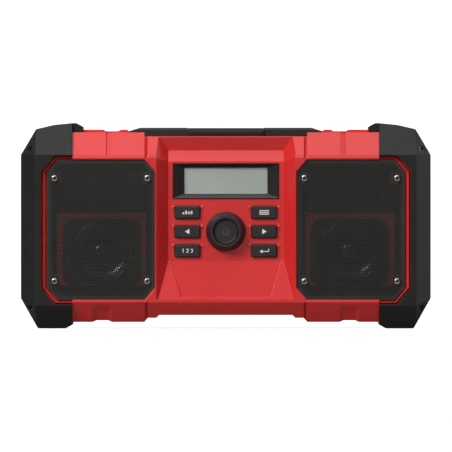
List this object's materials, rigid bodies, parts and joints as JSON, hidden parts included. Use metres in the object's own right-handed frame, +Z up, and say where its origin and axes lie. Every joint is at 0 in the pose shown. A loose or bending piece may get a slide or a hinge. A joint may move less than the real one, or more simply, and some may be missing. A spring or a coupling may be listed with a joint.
{
  "type": "jobsite radio",
  "caption": "Jobsite radio with rubber end caps, speakers behind steel grilles, sunk control console, carry handle, rear battery bay, device door and telescopic aerial.",
  "frame": {"origin": "on the ground under the middle of the radio, at the centre of its bottom", "axes": "+X to the listener's right along the width, +Y to the back, +Z up; the console and the grilles look along -Y"},
  "size_m": [0.406, 0.184, 0.2035],
  "materials": {
    "red_abs": "fine moulded texture",
    "black_rubber": "matt",
    "black_steel": "satin black powder coat",
    "zinc_screw": "zinc plated",
    "basket_steel": "pressed steel",
    "magnet": "sintered ferrite",
    "cone_paper": "coated paper",
    "surround_rubber": "smooth butyl",
    "black_plastic": "moulded",
    "clear_lens": "clear acrylic",
    "lcd_glass": "grey reflective LCD",
    "board": "solder mask",
    "component": "moulded",
    "aluminium": "extruded",
    "copper": "enamelled copper winding",
    "brass_contact": "stamped",
    "aerial_chrome": "polished"
  },
  "bodies": {
    "case": {"aerial_base": "black_plastic", "aerial_pin": "zinc_screw", "battery_dock": "black_plastic", "battery_terminals": "brass_contact", "board_components": "component", "control_board": "board", "device_sockets": "black_plastic", "display_bezel": "black_plastic", "display_lens": "clear_lens", "door_hinge_pin": "zinc_screw", "door_seal": "black_rubber", "end_cap_screws": "zinc_screw", "ferrite_coil": "copper", "ferrite_rod": "magnet", "front_housing": "red_abs", "grille_screws": "zinc_screw", "handle_bar": "black_steel", "handle_grip": "black_rubber", "handle_screws": "zinc_screw", "heat_sink": "aluminium", "housing_screws": "zinc_screw", "lcd_panel": "lcd_glass", "left_driver_basket": "basket_steel", "left_driver_cone": "cone_paper", "left_driver_magnet": "magnet", "left_driver_surround": "surround_rubber", "left_end_cap": "black_rubber", "left_grille": "black_steel", "left_passive_radiator": "surround_rubber", "left_radiator_frame": "black_plastic", "main_board": "board", "mains_inlet": "black_plastic", "rear_housing": "red_abs", "right_driver_basket": "basket_steel", "right_driver_cone": "cone_paper", "right_driver_magnet": "magnet", "right_driver_surround": "surround_rubber", "right_end_cap": "black_rubber", "right_grille": "black_steel", "right_passive_radiator": "surround_rubber", "right_radiator_frame": "black_plastic", "tact_switches": "component", "transformer_coil": "copper", "transformer_core": "basket_steel", "volume_encoder": "component"},
    "volume_knob": {"volume_knob": "black_plastic", "knob_clip": "zinc_screw"},
    "power_button": {"power_button": "black_plastic"},
    "device_door": {"device_door": "black_plastic"},
    "door_latch": {"door_latch": "black_plastic"},
    "aerial_mast": {"aerial_mast": "aerial_chrome"},
    "aerial_middle": {"aerial_middle": "aerial_chrome"},
    "aerial_tip": {"aerial_tip": "aerial_chrome"},
    "mode_button": {"mode_button": "black_plastic"},
    "left_button": {"left_button": "black_plastic"},
    "preset_button": {"preset_button": "black_plastic"},
    "menu_button": {"menu_button": "black_plastic"},
    "right_button": {"right_button": "black_plastic"},
    "enter_button": {"enter_button": "black_plastic"}
  },
  "joints": [
    {"name": "mode_press", "type": "slide", "parent": "case", "child": "mode_button", "axis": [0, 1, 0], "range_m": [0, 0.0008], "stiffness_N_per_m": 1500},
    {"name": "left_press", "type": "slide", "parent": "case", "child": "left_button", "axis": [0, 1, 0], "range_m": [0, 0.0008], "stiffness_N_per_m": 1500},
    {"name": "preset_press", "type": "slide", "parent": "case", "child": "preset_button", "axis": [0, 1, 0], "range_m": [0, 0.0008], "stiffness_N_per_m": 1500},
    {"name": "menu_press", "type": "slide", "parent": "case", "child": "menu_button", "axis": [0, 1, 0], "range_m": [0, 0.0008], "stiffness_N_per_m": 1500},
    {"name": "right_press", "type": "slide", "parent": "case", "child": "right_button", "axis": [0, 1, 0], "range_m": [0, 0.0008], "stiffness_N_per_m": 1500},
    {"name": "enter_press", "type": "slide", "parent": "case", "child": "enter_button", "axis": [0, 1, 0], "range_m": [0, 0.0008], "stiffness_N_per_m": 1500},
    {"name": "power_press", "type": "slide", "parent": "case", "child": "power_button", "axis": [0, 1, 0], "range_m": [0, 0.0008], "stiffness_N_per_m": 1500},
    {"name": "volume_turn", "type": "hinge", "parent": "case", "child": "volume_knob", "pos_m": [0, -0.08, 0.096], "axis": [0, 1, 0], "continuous": true},
    {"name": "door_swing", "type": "hinge", "parent": "case", "child": "device_door", "pos_m": [0.104, 0.086, 0.0632], "axis": [-1, 0, 0], "range_deg": [0, 105]},
    {"name": "latch_turn", "type": "hinge", "parent": "device_door", "child": "door_latch", "pos_m": [0.104, 0.086, 0.132], "axis": [0, -1, 0], "range_deg": [0, 90]},
    {"name": "aerial_tilt", "type": "hinge", "parent": "case", "child": "aerial_mast", "pos_m": [-0.128, 0.083, 0.037], "axis": [-1, 0, 0], "range_deg": [0, 90]},
    {"name": "aerial_middle_slide", "type": "slide", "parent": "aerial_mast", "child": "aerial_middle", "axis": [0, 0, 1], "range_m": [0, 0.125]},
    {"name": "aerial_tip_slide", "type": "slide", "parent": "aerial_middle", "child": "aerial_tip", "axis": [0, 0, 1], "range_m": [0, 0.12]}
  ]
}
